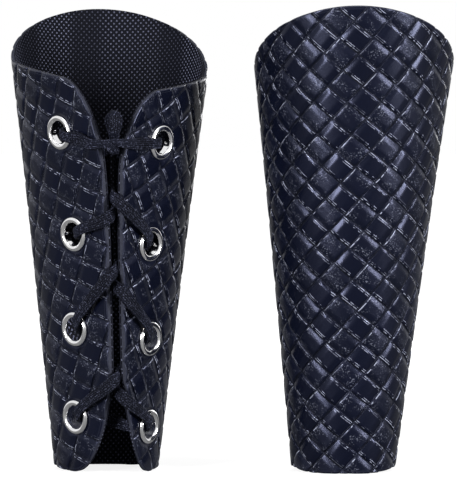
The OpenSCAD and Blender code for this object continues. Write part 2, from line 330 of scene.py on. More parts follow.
def intoHole(f, d):
    w = sideOf(f, d)
    turning, twisted = turnAt(f, d, w)
    under = washerLow - lace["thick"] / 2
    return [
        nearEyelet(f, d, eyelets["hole"] + lace["dipFromHole"], under - lace["dip"], w, slitLaceWidth),
        nearEyelet(f, turning, eyelets["hole"] - lace["insideHole"],
                   under - eyelets["roll"] - lace["underRoll"], twisted, holeWidth),
    ]


# A point between the flaps at the slit, moved to the right and outward.
def slitMiddle(b, z, sideways, out):
    middle = (skin(b, -1, 0, z) + skin(b, 1, 0, z)) / 2
    return middle + turned(np.array([sideways, -out, 0.0]), b["turn"])


def slitNormal(b, side):
    h = heading[0]
    fall = sleeve["flare"] * (across[0] * math.sin(h) - depth[0] * math.cos(h))
    return turned(unit(np.array([side * math.sin(h), -math.cos(h), -fall])), b["turn"])


# From one eyelet over its flap's edge, through the slit and into the next eyelet across.
def strand(b, side, k, over):
    start, end = eyeletFrame(b, side, k), eyeletFrame(b, -side, k + 1)
    slitZ = (rowHeight(k, 0) + rowHeight(k + 1, 0)) / 2 + lace["crossingShift"][k - 1]
    slitZ += lace["passRise"] if over else -lace["passRise"]
    edgeZ, behindZ = slitZ - lace["edgeFall"], slitZ + lace["behindRise"]
    leaving = headingTo(start, skin(b, side, 0, edgeZ))
    arriving = headingTo(end, skin(b, -side, 0, behindZ))
    wIn = sideOf(end, arriving)
    wEdge = np.cross(slitNormal(b, side), leaving)
    wEdge = -wEdge if wEdge[2] < 0 else wEdge
    halfGap = (slitHalf(-1, edgeZ) + slitHalf(1, edgeZ)) / 2
    atEdge = slitMiddle(b, edgeZ, side * (halfGap - lace["edgeIn"]), lace["overEdge"])
    inSlit = slitMiddle(b, slitZ, -side * lace["middlePast"], -lace["middleIn"][int(over)])
    behind = slitMiddle(b, behindZ, -side * lace["pastMiddle"], -lace["behindSlit"])
    upright = np.array([0, 0, lace["upright"]])
    return outOfHole(start, leaving) + [
        station(atEdge, wEdge, lace["width"]),
        station(inSlit, wEdge + wIn + upright, slitLaceWidth),
        station(behind, wIn, slitLaceWidth),
    ] + intoHole(end, arriving)


def climb(b, side, k):
    if k == eyelets["rows"]:
        return []
    return strand(b, side, k, lace["topSide"][k - 1] == side) + climb(b, -side, k + 1)


def bar(b):
    left, right = eyeletFrame(b, -1, 1), eyeletFrame(b, 1, 1)
    ends = [skin(b, side, lace["barShare"], eyelets["lowRow"], barInside) for side in (-1, 1)]
    middle = station(mix(ends[0], ends[1], 0.5), left[2] + right[2], lace["width"])
    return intoHole(left, left[1])[::-1] + [middle] + intoHole(right, right[1])


# The knot and its loop: right, out and up from the knot's middle, the direction of the lace's
# width there, and the width.
acrossX, upZ = np.array([1.0, 0, 0]), np.array([0, 0, 1.0])
knotZ = rowHeight(eyelets["rows"], 0) - lace["knotDrop"]
knotWidth, loopTop = lace["knotWidth"], lace["loopHeight"]
wrapPlaces = [
    (-3.4, 6.2, -0.4, upZ, knotWidth), (0.2, 5.6, -3, np.array([0.6, 0, 0.8]), knotWidth),
    (1.8, 1.8, -4.8, acrossX, knotWidth), (2, -1.9, -1.6, acrossX, knotWidth),
    (1.8, -1.8, 3, acrossX, knotWidth), (1.6, 1.2, 5.8, acrossX, knotWidth + 1.4),
    (2.6, 3.4, loopTop - 7, acrossX, lace["width"]), (2.9, 3.1, loopTop - 3, acrossX, lace["width"]),
    (2.0, 0.6, loopTop, acrossX, lace["width"] * 0.5), (0.6, -1.9, loopTop - 3.4, acrossX, lace["width"]),
    (1.6, -5.2, 5, acrossX, slitLaceWidth),
]
straightPlaces = [
    (3.6, 2.4, 0.3, upZ, knotWidth), (0, 2.1, 0, upZ, knotWidth), (-3.4, 1.6, -0.4, upZ, knotWidth),
    (-2.2, -2.8, -4.4, np.array([0.7, 0, 0.7]), knotWidth + 1),
]


def topRun(b, side, places, endX):
    f = eyeletFrame(b, side, eyelets["rows"])
    z = rowHeight(eyelets["rows"], side)
    d = headingTo(f, skin(b, side, share(lace["knotArc"], knotZ), knotZ))
    farArc, nearArc = lace["barArcs"]
    farOut, nearOut = lace["barOut"]
    run = outOfHole(f, d) + [
        station(skin(b, side, share(farArc, z), mix(knotZ, z, 0.5), outside + farOut), upZ,
                lace["width"]),
        station(skin(b, side, share(nearArc, knotZ), knotZ, outside + nearOut), upZ, slitLaceWidth),
    ]
    for sideways, out, up, w, wide in places:
        run.append(station(slitMiddle(b, knotZ + up, sideways, out), turned(w, b["turn"]), wide))
    endSide = turned(acrossX, b["turn"])
    for i in range(lace["endSteps"] + 1):
        z = knotZ - lace["endStart"] - i * lace["endLength"] / lace["endSteps"]
        run.append(station(slitMiddle(b, z, endX, -lace["endDepth"]), endSide, slitLaceWidth))
    return run


def laceRoute(b):
    return (topRun(b, 1, straightPlaces, -lace["endSide"])[::-1] + climb(b, -1, 1)[::-1] + bar(b)
            + climb(b, 1, 1) + topRun(b, -1, wrapPlaces, lace["endSide"]))


# Building node trees.

def plug(tree, socket, value):
    if isinstance(value, bpy.types.NodeSocket):
        tree.links.new(value, socket)
    else:
        socket.default_value = value


def addNode(tree, kind, inputs=None, **settings):
    node = tree.nodes.new(kind)
    for name, value in settings.items():
        setattr(node, name, value)
    for key, value in (inputs or {}).items():
        plug(tree, node.inputs[key], value)
    return node


def calc(tree, operation, *values, clamp=False):
    node = addNode(tree, "ShaderNodeMath", dict(enumerate(values)), operation=operation, use_clamp=clamp)
    return node.outputs[0]


def plus(tree, a, b):
    return calc(tree, "ADD", a, b)


def minus(tree, a, b):
    return calc(tree, "SUBTRACT", a, b)


def positive(tree, a):
    return calc(tree, "ABSOLUTE", a)


def floor(tree, a):
    return calc(tree, "FLOOR", a)


def times(tree, product, *others):
    for other in others:
        product = calc(tree, "MULTIPLY", product, other)
    return product


# Goes smoothly from start at low to end at high.
def ramp(tree, value, low, high, start=0.0, end=1.0):
    node = addNode(tree, "ShaderNodeMapRange", {0: value, 1: low, 2: high, 3: start, 4: end},
                   interpolation_type="SMOOTHSTEP")
    return node.outputs[0]


# Rises from 0 at low to 1 at full, and falls from 1 at last to 0 at high.
def band(tree, value, low, full, last, high):
    return times(tree, ramp(tree, value, low, full), ramp(tree, value, high, last))


def between(tree, a, b, share):
    return plus(tree, times(tree, a, minus(tree, 1.0, share)), times(tree, b, share))


# The place within one repeat, from -0.5 to 0.5.
def withinOne(tree, value):
    return minus(tree, calc(tree, "FRACT", value), 0.5)


def parted(tree, vector):
    return addNode(tree, "ShaderNodeSeparateXYZ", {0: vector}).outputs


def attributeOf(tree, name, kind="FLOAT_VECTOR"):
    node = addNode(tree, "GeometryNodeInputNamedAttribute", {"Name": name}, data_type=kind)
    return [o for o in node.outputs if o.enabled][0]


# A new tree, the sockets that its inputs are read from, and those that its results go to.
def newTree(kind, name, given, made):
    tree = bpy.data.node_groups.new(name, kind)
    for direction, sockets in (("INPUT", given), ("OUTPUT", made)):
        for label, socket in sockets.items():
            tree.interface.new_socket(name=label, in_out=direction, socket_type="NodeSocket" + socket)
    return tree, tree.nodes.new("NodeGroupInput").outputs, tree.nodes.new("NodeGroupOutput").inputs


def newGrowth(name, given):
    whole = {"Geometry": "Geometry"}
    return newTree("GeometryNodeTree", name, {**whole, **given}, whole)


# Moves points out along their stored direction by a height.
def pushedOut(tree, geometry, height):
    offset = addNode(tree, "ShaderNodeVectorMath", {0: attributeOf(tree, "outward"), "Scale": height},
                     operation="SCALE").outputs[0]
    return addNode(tree, "GeometryNodeSetPosition", {"Geometry": geometry, "Offset": offset}).outputs[0]


def dressed(tree, geometry, material):
    real = addNode(tree, "GeometryNodeRealizeInstances", {0: geometry}).outputs[0]
    return addNode(tree, "GeometryNodeSetMaterial", {"Geometry": real, "Material": material}).outputs[0]


# Runs a tree on an object and leaves a plain mesh with no modifier.
def grow(obj, tree, values):
    modifier = obj.modifiers.new(tree.name, "NODES")
    modifier.node_group = tree
    for item in tree.interface.items_tree:
        if item.item_type == "SOCKET" and item.in_out == "INPUT" and item.name in values:
            modifier[item.identifier] = values[item.name]
    bpy.context.view_layer.update()
    grown = obj.evaluated_get(bpy.context.evaluated_depsgraph_get())
    mesh = bpy.data.meshes.new_from_object(grown)
    old = obj.data
    obj.modifiers.clear()
    obj.data = mesh
    mesh.name = obj.name
    bpy.data.meshes.remove(old)
    return obj


# Where a point lies in the weave: which strip is on top, and how far across and along it.
def strips(tree, a, b):
    odd = calc(tree, "MODULO", positive(tree, plus(tree, floor(tree, a), floor(tree, b))), 2.0)
    fa, fb = withinOne(tree, a), withinOne(tree, b)
    return odd, between(tree, fa, fb, odd), between(tree, fb, fa, odd)


# The two families of strips: width, slope on the flat sheet, and where they start. Where a height
# begins and where it is full are in shares of a strip's width.
weave = dict(
    falling=dict(pitch=12.2, slope=-39.4, scale=dict(left=1.1, right=1.0),
                 start=dict(left=1.48, right=0.83)),
    rising=dict(pitch=13.97, slope=46.4, scale=dict(left=1.115, right=1.0),
                start=dict(left=0.43, right=0.9)),
    crown=0.35,
    crownFrom=(0.5, 0.38),
    dive=0.8,
    diveFrom=(0.2, 0.52),
    groove=0.35,
    grooveFrom=(0.455, 0.5),
)


def buildWeaveTree():
    tree, given, result = newGrowth("embossWeave", {
        "Crown": "Float", "Dive": "Float", "Groove": "Float",
        "Leather": "Material", "Cut edge": "Material"})
    spot = parted(tree, attributeOf(tree, "weaveSpot"))
    odd, t, s = strips(tree, spot[0], spot[1])
    t, s = positive(tree, t), positive(tree, s)
    crown = times(tree, given["Crown"], ramp(tree, t, *weave["crownFrom"]))
    dive = times(tree, given["Dive"], ramp(tree, s, *weave["diveFrom"]))
    groove = times(tree, given["Groove"], ramp(tree, calc(tree, "MAXIMUM", t, s), *weave["grooveFrom"]))
    height = minus(tree, minus(tree, crown, dive), groove)
    moved = pushedOut(tree, given["Geometry"], times(tree, height, spot[2]))
    edged = addNode(tree, "GeometryNodeSetMaterial", {
        "Geometry": dressed(tree, moved, given["Leather"]),
        "Selection": attributeOf(tree, "cutFace", "BOOLEAN"), "Material": given["Cut edge"]})
    tree.links.new(edged.outputs[0], result[0])
    return tree


# Meshes of the wrapped sheets.

# A point's place in the flat sheet that the sleeve is cut from, right and up from the back's foot.
def flatPlace(side, u, z):
    apex = sleeve["footHalfWidth"] / sleeve["flare"]
    angle = -side * (1 - u) * halfPerimeter * sleeve["flare"]
    return (z + apex) * np.sin(angle), (z + apex) * np.cos(angle) - apex


# How many strips of each family lie below a point.
def weavePlace(name, side, u, z):
    x, y = flatPlace(side, u, z)
    counts = []
    for family in (weave["falling"], weave["rising"]):
        slope, pitch = math.radians(family["slope"]), family["pitch"] * family["scale"][name]
        counts.append((y * math.cos(slope) - x * math.sin(slope)) / pitch + family["start"][name])
    return counts


# Joins two closed loops of vertices, given the growing position of each vertex round its loop.
def zipLoops(a, ta, b, tb):
    faces, i, j = [], 0, 0
    ta, tb = list(ta) + [ta[0] + 1], list(tb) + [tb[0] + 1]
    na, nb = len(a), len(b)
    while i < na or j < nb:
        if j >= nb or (i < na and ta[i + 1] <= tb[j + 1]):
            faces.append((a[i % na], b[j % nb], a[(i + 1) % na]))
            i += 1
        else:
            faces.append((a[i % na], b[j % nb], b[(j + 1) % nb]))
            j += 1
    return faces


# The border of a grid of columns and rows, once round, with each vertex's position from 0 to 1.
def gridBorder(columns, rows, first):
    right, top = columns - 1, rows - 1
    across, up = np.arange(right), np.arange(top)
    i = np.concatenate([across, right + 0 * up, right - across, 0 * up])
    j = np.concatenate([0 * across, up, top + 0 * across, top - up])
    place = np.concatenate([across / right, 1 + up / top, 2 + across / right, 3 + up / top]) / 4
    return list(first + i * rows + j), list(place)


# Cuts round holes in a grid: moves what lies just inside onto the circle and drops what is deeper.
def roundHoles(points, quads, holes, first):
    radius = sheet["holeRadius"]
    loops = []
    keep = np.ones(len(quads), bool)
    for centre, toward, up, out in holes:
        d = points - centre
        d = d - (d @ out)[:, None] * out
        r = np.linalg.norm(d, axis=1)
        near = np.abs((points - centre) @ out) < sheet["holeDepth"]
        within = (r < radius) & near
        keep &= ~within[quads].all(1)
        points[within] += d[within] * (radius / np.maximum(r[within], 1e-6) - 1)[:, None]
        edges = dict.fromkeys((int(p), int(s)) for q in quads[keep & within[quads].any(1)]
                              for p, s in zip(q, np.roll(q, -1)) if within[p] and within[s])
        step = {p: s for p, s in edges if (s, p) not in edges}
        start = next(iter(step))
        loop, here = [start], step[start]
        while here != start:
            loop.append(here)
            here = step[here]
        d = points[loop] - centre
        angle = np.unwrap(np.arctan2(d @ up, d @ toward)) / (2 * math.pi)
        if angle[-1] < angle[0]:
            loop, angle = loop[::-1], angle[::-1]
        turn = int(np.argmin(np.mod(angle, 1)))
        loop = loop[turn:] + loop[:turn]
        angle = np.mod(np.concatenate([angle[turn:], angle[:turn]]), 1)
        loops.append(([first + v for v in loop], list(np.maximum.accumulate(angle))))
    return quads[keep], loops


def gridQuads(columns, rows, flip):
    i, j = np.meshgrid(np.arange(columns - 1), np.arange(rows - 1), indexing="ij")
    a = (i * rows + j).ravel()
    order = [a, a + rows, a + rows + 1, a + 1] if flip else [a, a + 1, a + rows + 1, a + rows]
    return np.stack(order, 1)


def meshFrom(name, points, faces, shadeSmooth=True):
    mesh = bpy.data.meshes.new(name)
    mesh.from_pydata(np.asarray(points).tolist(), [], [list(map(int, f)) for f in faces])
    mesh.polygons.foreach_set("use_smooth", np.full(len(mesh.polygons), shadeSmooth))
    obj = bpy.data.objects.new(name, mesh)
    bpy.context.scene.collection.objects.link(obj)
    return obj


def storePoints(obj, name, values):
    layer = obj.data.attributes.new(name, "FLOAT_VECTOR", "POINT")
    layer.data.foreach_set("vector", np.asarray(values, np.float32).ravel())


# Columns round and rows up of each face, shares of the way round or up, and millimetres.
sheet = dict(
    outer=(225, 320),
    inner=(112, 160),
    lining=(90, 120),
    cornerShare=0.28,
    cornerLevel=120.0,
    edgeRows=(0, 0.0007, 0.002),
    evenFrom=0.0045,
    round=0.4,
    roundReach=0.9,
    holeRadius=7.3,
    holeDepth=12.0,
    seatReach=10.6,
    flatReach=12.0,
)


# Places across a half, from the slit to the back, closer together round the corner at the slit.
def columnPlaces(count):
    corner = round(count * sheet["cornerShare"])
    cornerShare = sleeve["topCorner"][1][0] / (halfWidth(sheet["cornerLevel"]) * halfPerimeter)
    bent = cornerShare * (1 - np.cos(np.linspace(0, math.pi / 2, corner, endpoint=False)))
    return np.concatenate([bent, np.linspace(cornerShare, 1, count - corner)])


# Places up a half, from the hem to the rim, closer together at both edges.
def rowPlaces(count):
    ends = np.array(sheet["edgeRows"])
    even = np.linspace(sheet["evenFrom"], 1 - sheet["evenFrom"], count - 2 * len(ends))
    return np.concatenate([ends, even, 1 - ends[::-1]])


# The share round, the height, and the distance to the nearest cut edge, over a half.
def halfGrid(b, side, columns, rows):
    u, v = np.meshgrid(columnPlaces(columns), rowPlaces(rows), indexing="ij")
    low, high = hemHeight(u), rimHeight(b, side, u)
    z = low + (high - low) * v
    arc = u * halfWidth(z) * halfPerimeter
    apart = np.maximum(arc[:, 0], 1e-6) + np.arange(columns) * 1e-6
    nearest = arc
    for distance, border in ((high - z, high), (z - low, low)):
        slope = np.gradient(border[:, 0], apart)[:, None]
        nearest = np.minimum(nearest, distance / np.sqrt(1 + slope ** 2))
    return u, z, nearest


def smooth(value, low, high):
    t = np.clip((value - low) / (high - low), 0, 1)
    return t * t * (3 - 2 * t)


def fromEyelets(points, holes):
    return np.min([np.linalg.norm(points - hole[0], axis=1) for hole in holes], axis=0)


# One closed half of a sheet: its outer face, its inner face, and the cut edges between them.
def halfSheet(name, b, side, outerSize, innerSize, outerOut, innerOut, seat=0.0):
    holes = eyeletFrames(b, side)
    u, z, edge = halfGrid(b, side, *outerSize)
    away = fromEyelets(skin(b, side, u, z, outerOut).reshape(-1, 3), holes)
    reach = np.clip((sheet["roundReach"] - edge) / sheet["roundReach"], 0, 1)
    sink = sheet["round"] * (1 - np.sqrt(1 - reach ** 2))
    sink = sink.reshape(-1) + seat * (1 - smooth(away, eyelets["outer"], sheet["seatReach"]))
    outer = skin(b, side, u, z, outerOut - sink.reshape(u.shape)).reshape(-1, 3)
    outward = (skin(b, side, u, z, 1.0) - skin(b, side, u, z, 0.0)).reshape(-1, 3) * mm
    outerQuads, outerLoops = roundHoles(outer, gridQuads(*outerSize, side < 0), holes, 0)
    ui, zi, edgeInner = halfGrid(b, side, *innerSize)
    inner = skin(b, side, ui, zi, innerOut).reshape(-1, 3)
    first = len(outer)
    innerQuads, innerLoops = roundHoles(inner, gridQuads(*innerSize, side > 0), holes, first)
    cutFaces = zipLoops(*gridBorder(*outerSize, 0), *gridBorder(*innerSize, first))
    holeFaces = []
    for outerLoop, innerLoop in zip(outerLoops, innerLoops):
        holeFaces += zipLoops(*outerLoop, *innerLoop)
    faces = [tuple(q) for q in outerQuads] + [tuple(q + first) for q in innerQuads] + holeFaces + cutFaces
    points = np.concatenate([outer, inner])
    da, db = weavePlace(b["name"], side, u, z)
    spread = smooth(away, sheet["seatReach"], sheet["flatReach"])
    still = np.zeros((len(inner), 3))
    spot = np.concatenate([np.stack([da.ravel(), db.ravel(), spread], 1), still])
    push = np.concatenate([outward, still])
    flatSpot = np.concatenate([np.stack([n.ravel() for n in (*flatPlace(side, us, zs), fromCut)], 1)
                               for us, zs, fromCut in ((u, z, edge), (ui, zi, edgeInner))])
    used = sorted({v for f in faces for v in f})
    place = dict(zip(used, range(len(used))))
    faces = [[place[v] for v in f] for f in faces]
    obj = meshFrom(name, points[used] * mm, faces)
    tidyNormals(obj)
    storePoints(obj, "weaveSpot", spot[used])
    storePoints(obj, "outward", push[used])
    storePoints(obj, "flatSpot", flatSpot[used])
    isCut = np.arange(len(faces)) >= len(faces) - len(cutFaces)
    obj.data.attributes.new("cutFace", "BOOLEAN", "FACE").data.foreach_set("value", isCut)
    return obj


def tidyNormals(obj):
    mesh = bmesh.new()
    mesh.from_mesh(obj.data)
    bmesh.ops.recalc_face_normals(mesh, faces=mesh.faces)
    mesh.to_mesh(obj.data)
    mesh.free()


def readAll(items, field):
    values = np.zeros(len(items), np.int32)
    items.foreach_get(field, values)
    return values


# Keeps the shading from running over a border between two materials.
def sharpenBorders(obj):
    mesh = obj.data
    edge = readAll(mesh.loops, "edge_index")
    kind = np.repeat(readAll(mesh.polygons, "material_index"), readAll(mesh.polygons, "loop_total"))
    low = np.full(len(mesh.edges), 99)
    high = np.zeros(len(mesh.edges), int)
    np.minimum.at(low, edge, kind)
    np.maximum.at(high, edge, kind)
    old = mesh.attributes.get("sharp_edge")
    if old:
        mesh.attributes.remove(old)
    mesh.attributes.new("sharp_edge", "BOOLEAN", "EDGE").data.foreach_set("value", low != high)


# Materials.

def newMaterial(name):
    made = bpy.data.materials.new(name)
    made.use_nodes = True
    return made, made.node_tree


def setShader(made, values):
    shader = made.node_tree.nodes["Principled BSDF"]
    for label, value in values.items():
        plug(made.node_tree, shader.inputs[label], value)
    return made


# A linear colour from an sRGB one on 0 to 255.
def tone(red, green, blue):
    return tuple((c / 255 / 12.92) if c < 10.3 else ((c / 255 + 0.055) / 1.055) ** 2.4
                 for c in (red, green, blue)) + (1.0,)


def objectPlace(tree):
    return addNode(tree, "ShaderNodeTexCoord").outputs["Object"]


def stored(tree, name):
    return addNode(tree, "ShaderNodeAttribute", attribute_name=name).outputs["Vector"]


def noise(tree, vector, scale, detail):
    return addNode(tree, "ShaderNodeTexNoise", {
        "Vector": vector, "Scale": scale, "Detail": detail}).outputs["Fac"]


def patches(tree, vector, scale, detail, *limits):
    return ramp(tree, noise(tree, vector, scale, detail), *limits)


def blendColour(tree, share, a, b):
    return addNode(tree, "ShaderNodeMix", {0: share, 6: a, 7: b}, data_type="RGBA").outputs[2]


def raised(tree, height, distance):
    return addNode(tree, "ShaderNodeBump", {"Height": height, "Distance": distance}).outputs[0]


# The leather's surface. Noises have a scale, a detail and the limits of their ramp. Lines and
# grooves are in shares of a strip's width, edgeLine and crease in millimetres from the cut edge.
# Painted light on the leather: the groove colour is painted shade in the grooves, and the pale colour is
# painted highlight along the rubbed strip edges and glints in the specks.
leather = dict(
    dark=tone(4, 6, 16),
    lit=tone(9, 12, 26),
    # Painted shade colour for the grooves between the strips.
    groove=tone(2, 3, 7),
    # Painted highlight colour, for the rubbed strip edges and the specks.
    wearAndHighlight=tone(178, 183, 205),
    cutEdge=tone(38, 40, 51),
    shine=0.24,
    shineTint=tone(205, 212, 255),
    roughness=0.26,
    roughMore={"Grained": 0.05, "Groove": 0.3, "Worn": -0.15},
    cloud=(55.0, 3.0),
    tileShare=0.4,
    speckShare=0.2,
    edgeHighlightShare=0.65,
    edgeShare=0.75,
    edgeLine=(0.6, 0.35),
    creaseShare=0.35,
    crease=(1.1, 1.3, 1.6, 1.8),
    relief=0.001,
    uneven=(140.0, 2.0, 0.35, 0.6, 0.35, 1.0),
    grooveFrom=(0.45, 0.485),
    broken=(380.0, 3.0, 0.455, 0.585),
    fade=(70.0, 1.0, 0.36, 0.56, 0.2, 1.0),
    sideLine=(0.41, 0.43, 0.445, 0.46),
    secondLine=(0.325, 0.34, 0.355, 0.37),
    secondShare=0.7,
    lineEnds=(0.5, 0.42),
    crackleScale=1000.0,
    crackleTo=0.4,
    patch=(160.0, 2.0, 0.42, 0.62),
    speck=(1300.0, 1.0, 0.56, 0.7),
    pebble=(1500.0, 2.0),
    offEyelets=(0.3, 0.8),
    grooveOffEyelets=(0.2, 0.7),
    heights={"crackle": 0.035, "pebble": 0.022, "groove": -0.5, "lines": 0.12},
)


def leatherDetail():
    group, given, made = newTree(
        "ShaderNodeTree", "leatherDetail", {"Weave spot": "Vector", "Place": "Vector"},
        dict.fromkeys(("Groove", "Worn", "Tile", "Speck", "Height", "Grained"), "Float"))
    spot, place = parted(group, given["Weave spot"]), given["Place"]
    odd, t, s = strips(group, spot[0], spot[1])
    farT, farS = positive(group, t), positive(group, s)
    offEyelets = ramp(group, spot[2], *leather["offEyelets"])
    uneven, broken, fade, patch, speck = (
        patches(group, place, *leather[name]) for name in ("uneven", "broken", "fade", "patch", "speck"))
    # The groove mask: painted shade in the grooves, also rougher and sunk by bump, weaker near the eyelets.
    groove = times(group, ramp(group, calc(group, "MAXIMUM", farT, farS), *leather["grooveFrom"]),
                   ramp(group, spot[2], *leather["grooveOffEyelets"]), uneven)
    # Lines along the strips' edges: rubbed edges, painted as bright highlights.
    sideLine = band(group, between(group, farT, t, odd), *leather["sideLine"])
    second = times(group, band(group, farT, *leather["secondLine"]),
                   minus(group, 1.0, odd), leather["secondShare"])
    lines = times(group, plus(group, sideLine, second), broken, fade,
                  ramp(group, farS, *leather["lineEnds"]))
    wearAndHighlight = calc(group, "MULTIPLY", lines, offEyelets, clamp=True)
    corner = addNode(group, "ShaderNodeCombineXYZ", {
        0: floor(group, spot[0]), 1: floor(group, spot[1])}).outputs[0]
    tile = addNode(group, "ShaderNodeTexWhiteNoise", {"Vector": corner}).outputs["Value"]
    cells = addNode(group, "ShaderNodeTexVoronoi", {"Vector": place, "Scale": leather["crackleScale"]},
                    feature="DISTANCE_TO_EDGE").outputs["Distance"]
    reliefs = {"crackle": times(group, ramp(group, cells, 0.0, leather["crackleTo"]), odd),
               "pebble": noise(group, place, *leather["pebble"]), "groove": groove, "lines": lines}
    height = 0.0
    for name, relief in reliefs.items():
        height = plus(group, height, times(group, relief, leather["heights"][name]))
    for label, value in (("Groove", groove), ("Worn", wearAndHighlight), ("Tile", tile), ("Height", height),
                         ("Speck", times(group, speck, odd, patch, offEyelets)), ("Grained", odd)):
        plug(group, made[label], value)
    return group


def leatherMaterial():
    made, tree = newMaterial("embossedLeather")
    fromEdge = parted(tree, stored(tree, "flatSpot"))[2]
    place = objectPlace(tree)
    given = {"Weave spot": stored(tree, "weaveSpot"), "Place": place}
    detail = addNode(tree, "ShaderNodeGroup", given, node_tree=leatherDetail()).outputs
    cloudy = between(tree, noise(tree, place, *leather["cloud"]), detail["Tile"], leather["tileShare"])
    colour = blendColour(tree, cloudy, leather["dark"], leather["lit"])
    edgeLine = ramp(tree, fromEdge, *leather["edgeLine"])
    crease = band(tree, fromEdge, *leather["crease"])
    # Painted glints: specks on the grained strips in the pale highlight colour.
    for mask, shown, over in ((detail["Speck"], leather["speckShare"], leather["wearAndHighlight"]),
                              # Painted shade in the grooves.
                              (detail["Groove"], 1.0, leather["groove"]),
                              # Painted highlight along the rubbed strip edges.
                              (detail["Worn"], leather["edgeHighlightShare"], leather["wearAndHighlight"]),
                              (edgeLine, leather["edgeShare"], leather["cutEdge"]),
                              (crease, leather["creaseShare"], leather["cutEdge"])):
        colour = blendColour(tree, times(tree, mask, shown), colour, over)
    rough = leather["roughness"]
    for label, more in leather["roughMore"].items():
        rough = plus(tree, rough, times(tree, detail[label], more))
    return setShader(made, {
        "Base Color": colour, "Roughness": rough, "Specular IOR Level": leather["shine"],
        "Specular Tint": leather["shineTint"], "Normal": raised(tree, detail["Height"], leather["relief"])})


# The bare edges of the leather and of the lining.
cut = dict(
    leather=(tone(26, 28, 37), tone(56, 58, 70)),
    cloth=(tone(6, 7, 14), tone(24, 26, 38)),
    fibre=(900.0, 3.0),
    roughness=0.7,
    shine=0.1,
    relief=0.0002,
)


def cutEdgeMaterial(name, low, high):
    made, tree = newMaterial(name)
    fibre = noise(tree, objectPlace(tree), *cut["fibre"])
    return setShader(made, {
        "Base Color": blendColour(tree, fibre, low, high), "Roughness": cut["roughness"],
        "Specular IOR Level": cut["shine"], "Normal": raised(tree, fibre, cut["relief"])})


# The dots' spacing is in millimetres, and the rest of their size in shares of it.
lining = dict(
    pitch=3.3,
    dotEdge=(0.3, 0.14),
    cloth=tone(5, 6, 14),
    dot=tone(104, 107, 128),
    band=(0.04, 0.0, 0.42, 0.58, 0.25, 0.9),
    roughness=0.75,
    shine=0.08,
    relief=0.0003,
)


def liningMaterial():
    made, tree = newMaterial("liningCloth")
    parts = parted(tree, stored(tree, "flatSpot"))
    x, y = calc(tree, "DIVIDE", parts[0], lining["pitch"]), calc(tree, "DIVIDE", parts[1], lining["pitch"])
    a, c = withinOne(tree, plus(tree, x, y)), withinOne(tree, minus(tree, x, y))
    reach = calc(tree, "SQRT", plus(tree, times(tree, a, a), times(tree, c, c)))
    dot = ramp(tree, reach, *lining["dotEdge"])
    column = addNode(tree, "ShaderNodeCombineXYZ", {0: parts[0]}).outputs[0]
    wearAndHighlight = patches(tree, column, *lining["band"])
    return setShader(made, {
        "Base Color": blendColour(tree, times(tree, dot, wearAndHighlight), lining["cloth"], lining["dot"]),
        "Roughness": lining["roughness"], "Specular IOR Level": lining["shine"],
        "Normal": raised(tree, dot, lining["relief"])})


metal = dict(
    low=tone(232, 232, 234),
    high=tone(250, 250, 251),
    smear=(260.0, 3.0),
    roughness=(0.3, 0.8, 0.07, 0.16),
    relief=0.00004,
)


def chromeMaterial():
    made, tree = newMaterial("polishedChrome")
    smear = noise(tree, objectPlace(tree), *metal["smear"])
    return setShader(made, {
        "Base Color": blendColour(tree, smear, metal["low"], metal["high"]), "Metallic": 1.0,
        "Roughness": ramp(tree, smear, *metal["roughness"]),
        "Normal": raised(tree, smear, metal["relief"])})


# Ridges and stitches are in millimetres, as is how far they stand out. The hollow colour is painted shade
# between the ridges and the ridge colour painted highlight on them.
braid = dict(
    wale=1.27,
    waleFall=3.2,
    stitch=1.3,
    stitchFrom=(0.5, 0.25),
    height=0.24,
    step=0.34,
    curveSteps=40,
    around=36,
    square=0.8,
    thickPower=0.35,
    sideLean=0.4,
    squeezed=(0.95, 0.8),
    shadedHollow=tone(2, 3, 8),
    litRidge=tone(18, 20, 32),
    ridgeFrom=(0.3, 0.95),
    pale=tone(104, 108, 132),
    speck=(1100.0, 1.0, 0.54, 0.66),
    speckShare=0.4,
    roughness=0.7,
    shine=0.08,
    relief=0.0005,
)


def laceMaterial():
    made, tree = newMaterial("laceBraid")
    height = braidRelief(tree, stored(tree, "braidSpot"))
    # Painted shade in the braid's hollows and painted highlight on its ridges, following the relief's
    # height; pale specks sit on the ridges.
    colour = blendColour(tree, ramp(tree, height, *braid["ridgeFrom"]), braid["shadedHollow"], braid["litRidge"])
    speck = patches(tree, objectPlace(tree), *braid["speck"])
    colour = blendColour(tree, times(tree, speck, height, braid["speckShare"]), colour, braid["pale"])
    return setShader(made, {
        "Base Color": colour, "Roughness": braid["roughness"], "Specular IOR Level": braid["shine"],
        "Normal": raised(tree, height, braid["relief"])})


# The ridges along the lace and the slanted stitches in them, which vanish where it is squeezed.
def braidRelief(tree, spot):
    parts = parted(tree, spot)
    across = calc(tree, "DIVIDE", parts[1], braid["wale"])
    along = calc(tree, "DIVIDE", parts[0], braid["stitch"])
    odd = calc(tree, "MODULO", positive(tree, floor(tree, across)), 2.0)
    side = minus(tree, times(tree, odd, 2.0), 1.0)
    within = withinOne(tree, across)
    wale = minus(tree, 1.0, times(tree, within, within, braid["waleFall"]))
    slant = positive(tree, withinOne(tree, plus(tree, along, times(tree, side, within))))
    return times(tree, wale, between(tree, ramp(tree, slant, *braid["stitchFrom"]), 1.0, parts[2]))


def buildBraidTree():
    tree, given, result = newGrowth("braidLace", {"Height": "Float", "Braid": "Material"})
    height = times(tree, braidRelief(tree, attributeOf(tree, "braidSpot")), given["Height"])
    moved = pushedOut(tree, given["Geometry"], height)
    tree.links.new(dressed(tree, moved, given["Braid"]), result[0])
    return tree


